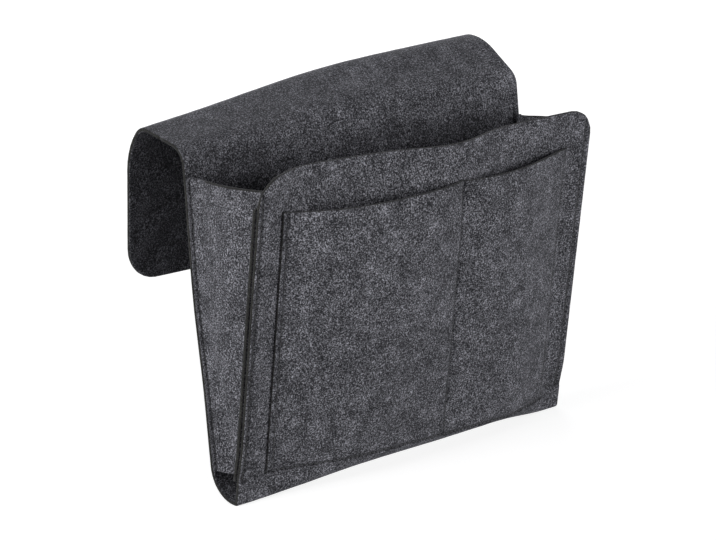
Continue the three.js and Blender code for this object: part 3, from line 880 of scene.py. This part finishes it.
pocket_edge = POCKET_HALF - EDGE_ROUND
divider_steps = np.concatenate((SEAM_STEPS, [2 * SEAM_WIDTH]))
left_span = np.linspace(-POCKET_SEAM + SEAM_CLEAR, DIVIDER - SEAM_CLEAR, LEFT_COLUMNS)
right_span = np.linspace(DIVIDER + SEAM_CLEAR, POCKET_SEAM - SEAM_CLEAR, RIGHT_COLUMNS)
pocket_columns = np.concatenate((
    [-pocket_edge], -POCKET_SEAM - SEAM_STEPS[::-1], left_span,
    DIVIDER + divider_steps, right_span, POCKET_SEAM + SEAM_STEPS, [pocket_edge]))
pocket_low = pocket_base(pocket_columns) + EDGE_ROUND
pocket_shares = np.concatenate((SEAM_SHARES, np.linspace(ROWS_FROM, 1, POCKET_ROWS)))
pocket_heights = [between(pocket_low, POCKET_TOP - EDGE_ROUND, share) for share in pocket_shares]
pressed_edge = EDGE_PRESS * ease(np.abs(pocket_columns), POCKET_SEAM, POCKET_HALF)
slanted = hump(pocket_columns, DIVIDER, *SLANT_REACHES)
pocket_rows = [pocket_surface(pocket_columns + slanted * divider_shift(height), height, -pressed_edge)
               for height in pocket_heights]
pocket_grid = np.array(pocket_rows)
from_bottom = np.array(pocket_heights) - pocket_base(pocket_columns)
side_sewn = SIDE_SEAM_SHARE * seam_press(np.abs(pocket_columns) - POCKET_SEAM)
uprights_sewn = side_sewn + DIVIDER_SHARE * seam_press(pocket_columns - DIVIDER)
pocket_sewn = np.minimum(1, uprights_sewn + seam_press(from_bottom - BOTTOM_SEAM))
pocket_sheet = felt_sheet("pocket_sheet", pocket_grid, pocket_sewn, thinned=pressed_edge)

# %% [markdown]
# Each gusset is one tapered piece of felt: a narrow flange sewn behind the front's edge, a bend, the side
# wall, another bend, and a narrow flange sewn inside the back's edge, where the wall spreads out to the
# seam. The front flange stands a millimetre proud of the front, so both cut edges show, and the wall bows
# outward. When the caddy is pressed flat the wall folds inward, so it is made in two sheets that meet in a
# slanted cut: a rear strip that stays with the back, and a wing that goes on from the front flange and is
# left as it stands at rest.

# %% Gussets
WALL = 156.5
FLANGE_BEND = 2.5
FLANGE_EDGE = HALF - EDGE_ROUND
GUSSET_FRONT_HEAD = 244.5
GUSSET_REAR_HEAD = {-1: 239.7, 1: 235.0}
FLANGE_HEAD_DROP = 12.0
CREASE_DEPTH = 21.2
WALL_BOW = 7.0
BOW_POWER = 0.75
BOW_RISE = 0.5
REAR_SEAT = 0.2
REAR_LAYER = FELT - REAR_SEAT
REAR_BEND = 1.2
REAR_SPREAD = 5.2
SPREAD_DEPTH = 17.0
REAR_SEAM = HALF - 1.6
REAR_SEAM_SHARE = 0.2
FLANGE_STEPS = SEAM_WIDTH * np.array((1.2, 0, -0.7))
FLANGE_FLARE = 0.8
FLANGE_ROOT = 1.0
GUSSET_ROWS = 44
BEND_POINTS = 6
STRIP_STEPS = 7
WING_STEPS = 17
SIDES = {"left": -1, "right": 1}
levels = np.linspace(0, 1, GUSSET_ROWS)[:, None]
bend_steps = np.linspace(0, math.pi / 2, BEND_POINTS)


def flange_places(side):
    """Distances of the front flange's flat points from the middle, from the cut edge inward."""
    return np.concatenate(([HALF], EDGE_SEAMS[side] + FLANGE_STEPS))


def front_flange(side):
    """Points of the front flange and its bend, from the cut edge to the wall."""
    bend_x = WALL + FLANGE_BEND * (1 - np.sin(bend_steps))
    bend_depth = FLANGE_BEND * (1 - np.cos(bend_steps))
    flat = flange_places(side)
    places = np.concatenate((flat, bend_x[1:]))
    depth = LAYER + np.concatenate((np.zeros(len(flat)), bend_depth[1:]))
    head = GUSSET_FRONT_HEAD - EDGE_ROUND - FLANGE_HEAD_DROP * ease(places, WALL + FLANGE_ROOT, FLANGE_EDGE)
    foot = GUSSET_FOOT + EDGE_ROUND
    heights = between(foot, head, levels)
    return front_surface(side * places[None, :], heights, FLANGE_FLARE * flare(places, heights) - depth)


def rear_flange(side):
    """Points of the rear flange and its bend, from the cut edge to the wall."""
    bend_x = WALL + REAR_SPREAD + REAR_BEND * (1 - np.sin(bend_steps))
    bend_depth = REAR_BEND * (1 - np.cos(bend_steps))
    places = np.concatenate(([FLANGE_EDGE, REAR_SEAM], bend_x))
    depth = REAR_LAYER + np.concatenate(([0, 0], bend_depth))
    foot = GUSSET_FOOT + EDGE_ROUND
    runs = between(foot, GUSSET_REAR_HEAD[side] - EDGE_ROUND, levels)
    return back_surface(side * places[None, :], runs) + depth[None, :, None] * BACK_IN


def wall_points(side, shares):
    """Points of the side wall at shares from the rear bend to the front bend, bowed outward."""
    rear = rear_flange(side)[:, -1:]
    front = front_flange(side)[:, -1:]
    points = between(rear, front, shares[..., None])
    depth = points @ BACK_IN - rear @ BACK_IN
    free = ease(depth, 0, SPREAD_DEPTH)
    arch = np.maximum(0, np.sin(np.pi * shares))
    bow = WALL_BOW * arch ** BOW_POWER * ease(levels, 0, BOW_RISE)
    points[..., 0] = side * (WALL + REAR_SPREAD * (1 - free) + bow * free)
    return points


def crease_share(side):
    """Share of the wall, from the rear, at which it is cut for folding."""
    rear = rear_flange(side)[:, -1] @ BACK_IN
    front = front_flange(side)[:, -1] @ BACK_IN
    return ((CREASE_DEPTH + FELT / 2 - rear) / (front - rear))[:, None]


def gusset_sheets(name, side):
    """Rear strip and wing of one gusset."""
    cut = crease_share(side)
    strip_wall = wall_points(side, cut * np.linspace(0, 1, STRIP_STEPS)[None, 1:])
    wing_wall = wall_points(side, 1 - (1 - cut) * np.linspace(0, 1, WING_STEPS)[None, 1:])
    strip = np.concatenate((rear_flange(side), strip_wall), axis=1)
    wing = np.concatenate((front_flange(side), wing_wall), axis=1)
    strip_sewn = np.zeros(strip.shape[:2])
    strip_sewn[:, 1] = REAR_SEAM_SHARE
    wing_sewn = np.zeros(wing.shape[:2])
    flat = flange_places(side)
    wing_sewn[:, :len(flat)] = seam_press(flat - EDGE_SEAMS[side])
    strip_end, wing_end = "last_column", "last_column"
    if side < 0:
        wing, wing_sewn, wing_end = wing[:, ::-1], wing_sewn[:, ::-1], "first_column"
    else:
        strip, strip_sewn, strip_end = strip[:, ::-1], strip_sewn[:, ::-1], "first_column"
    return (felt_sheet(f"{name}_gusset_strip", strip, strip_sewn, butted={strip_end: 1}, lips="all"),
            felt_sheet(f"{name}_gusset_wing_sheet", wing, wing_sewn, butted={wing_end: -1}, lips="none"))


gussets = {name: gusset_sheets(name, side) for name, side in SIDES.items()}

# %% [markdown]
# The seams are lockstitched: on each face the thread lies on the felt for about 3.5 mm, dives through at a
# needle hole, and comes up again. A curve with a round bevel would be one long rope, so each stitch is its
# own small tapered tube that rises in the middle and sinks at both ends. The thread is drawn a millimetre
# thick, more than a real one, so that it shows.

# %% Stitch builder
STITCH_PITCH = 4.0
STITCH_LENGTH = 3.5
THREAD_RADIUS = 0.5
STITCH_SIDES = 6
STITCH_RINGS = 6
STITCH_RISE = 1.5
STITCH_SINK = 0.7
STITCH_TAPER = 0.45
seams = {}


def stitch_row(path, out):
    """Points and faces of stitches along a path, lifted toward a direction."""
    steps = np.linalg.norm(np.diff(path, axis=0), axis=1)
    runs = np.concatenate(([0], np.cumsum(steps)))
    points, faces = [], []
    around = np.linspace(0, 2 * np.pi, STITCH_SIDES, endpoint=False)
    for start in np.arange(0, runs[-1] - STITCH_LENGTH, STITCH_PITCH):
        shares = np.linspace(0, 1, STITCH_RINGS)
        along_path = start + STITCH_LENGTH * shares
        centres = np.stack([np.interp(along_path, runs, path[:, axis]) for axis in range(3)], -1)
        centres += out * (THREAD_RADIUS * (STITCH_RISE * np.sin(np.pi * shares) - STITCH_SINK))[:, None]
        along = unit(centres[-1] - centres[0])
        sideways = np.cross(along, out)
        first = len(points)
        for centre, share in zip(centres, shares):
            radius = THREAD_RADIUS * (1 - STITCH_TAPER + STITCH_TAPER * math.sin(math.pi * share))
            points += [centre + radius * (math.cos(a) * sideways + math.sin(a) * out) for a in around]
        for ring in range(STITCH_RINGS - 1):
            low = first + ring * STITCH_SIDES
            for k in range(STITCH_SIDES):
                after = (k + 1) % STITCH_SIDES
                faces.append((low + k, low + after, low + STITCH_SIDES + after, low + STITCH_SIDES + k))
        faces.append(tuple(first + k for k in reversed(range(STITCH_SIDES))))
        faces.append(tuple(len(points) - STITCH_SIDES + k for k in range(STITCH_SIDES)))
    return points, faces


def sew(name, *rows):
    """Makes one seam from the stitch rows on its two faces."""
    points, faces = [], []
    for path, out in rows:
        more_points, more_faces = stitch_row(path, out)
        faces += [tuple(index + len(points) for index in face) for face in more_faces]
        points += more_points
    seams[name] = mesh_piece(f"{name}_stitches", points, faces, (thread,))
    print(name, "has", len(faces), "faces")


print("gap between two stitches:", STITCH_PITCH - STITCH_LENGTH, "mm")

# %% [markdown]
# Eight seams hold the caddy together: two along the front's edges, two along the back's edges, two at the
# pockets' sides, the line between the pockets and their bottom seam. Each shows on both faces.

# %% Seams
FACE = FELT / 2 - SEAM_DEPTH
END_GAP = 2.0
HEAD_GAP = 3.0
SEAM_POINTS = 80
BOTTOM_POINTS = 120
for name, side in SIDES.items():
    x = side * EDGE_SEAMS[side]
    foot = GUSSET_FOOT + END_GAP
    top = FRONT_HEIGHT - corner_cut(EDGE_SEAMS[side], HALF, CORNER_RADIUS) - HEAD_GAP
    heights = np.linspace(foot, top, SEAM_POINTS)
    inner_heights = np.linspace(foot, GUSSET_FRONT_HEAD - FLANGE_HEAD_DROP, SEAM_POINTS)
    flange_face = FLANGE_FLARE * flare(x, inner_heights) - LAYER - FACE
    sew(f"{name}_front_seam",
        (front_surface(x, heights, FACE + flare(x, heights)), FRONT_OUT),
        (front_surface(x, inner_heights, flange_face), -FRONT_OUT))
    runs = np.linspace(foot, GUSSET_REAR_HEAD[side] - HEAD_GAP, SEAM_POINTS)
    rear_face = REAR_LAYER + FELT / 2 - SEAM_DEPTH * REAR_SEAM_SHARE
    sew(f"{name}_rear_seam",
        (back_surface(side * REAR_SEAM, runs, rear_face), BACK_IN),
        (back_surface(x, runs, -FACE), -BACK_IN))
uprights = {"left_pocket_seam": (-POCKET_SEAM, 0, SIDE_SEAM_SHARE),
            "right_pocket_seam": (POCKET_SEAM, 0, SIDE_SEAM_SHARE),
            "pocket_divider": (DIVIDER, 1, DIVIDER_SHARE)}
pocket_lines = {}
for name, (place, slant, share) in uprights.items():
    heights = np.linspace(pocket_base(place) + MOUTH_FOOT, POCKET_TOP - END_GAP, SEAM_POINTS)
    pocket_lines[name] = (place + slant * divider_shift(heights), heights, share)
x = np.linspace(-POCKET_SEAM, POCKET_SEAM, BOTTOM_POINTS)
pocket_lines["pocket_bottom"] = (x, pocket_base(x) + BOTTOM_SEAM, 1)
for name, (x, heights, share) in pocket_lines.items():
    sew(name,
        (pocket_surface(x, heights, FELT / 2 - SEAM_DEPTH * share), FRONT_OUT),
        (front_surface(x, heights, -FELT / 2), -FRONT_OUT))

# %% [markdown]
# Now each piece is tied to the imported model. The strip's three sheets and the gusset wings are fixed in
# place as they stand at rest; the places of their folds are worked out, but nothing here bends them. The
# pocket sheet, the gusset strips and the stitches ride on one body each. The plain solids that each piece
# stands for are hidden.

# %% Ride and replace
FRONT_BEND = ((24, 7), (32.5, 17))
WING_BEND_HEIGHT = 120.0
WING_BEND_DEPTHS = (4.7, 10.0)


def frame_point(point):
    """A point in millimetres as a tuple in the model's frame, on the middle plane."""
    moved = to_frame(point)
    return (0.0, float(moved[1]), float(moved[2]))


front_start, front_end = (frame_point(strip_points(0.0, *place)) for place in FRONT_BEND)
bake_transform(front_sheet)
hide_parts("front_panel")
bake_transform(back_sheet)
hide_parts("back_panel", "bottom_fold")
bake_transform(flap_sheet)
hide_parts("hook_top", "hook_flap")
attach(pocket_sheet, "front")
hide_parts("pocket_panel")
wing_places = [front_surface(HALF, WING_BEND_HEIGHT, -depth) for depth in WING_BEND_DEPTHS]
for name, (strip, wing) in gussets.items():
    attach(strip, "bag")
    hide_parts(f"{name}_gusset_rear")
    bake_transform(wing)
    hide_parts(f"{name}_gusset_wing", f"{name}_gusset_front_flange")
for name, piece in seams.items():
    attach(piece, "bag" if name.endswith("rear_seam") else "front")
    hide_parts(f"{name}_thread")

# %% [markdown]
# A maker would cut the caddy from a cutting list. The strip is 330 mm wide and 730 mm long in all, the
# pocket sheet is cut wider than it is sewn so that its mouths stand open, and each gusset tapers toward
# the bottom. These sizes are listed here, and the felt they add up to is printed.

# %% Cutting list
FLAP_CUT = (0.330, 0.172)
BACK_CUT = (0.330, 0.302)
FRONT_CUT = (0.330, 0.256)
POCKET_CUT = (0.291, 0.209)
STRIP_CUT = (0.024, 0.222)
WING_AREA = 0.0096
straight_cuts = (FLAP_CUT, BACK_CUT, FRONT_CUT, POCKET_CUT, STRIP_CUT, STRIP_CUT)
felt_area = sum(width * length for width, length in straight_cuts) + 2 * WING_AREA
print("felt in the caddy:", round(felt_area, 3), "square metres")
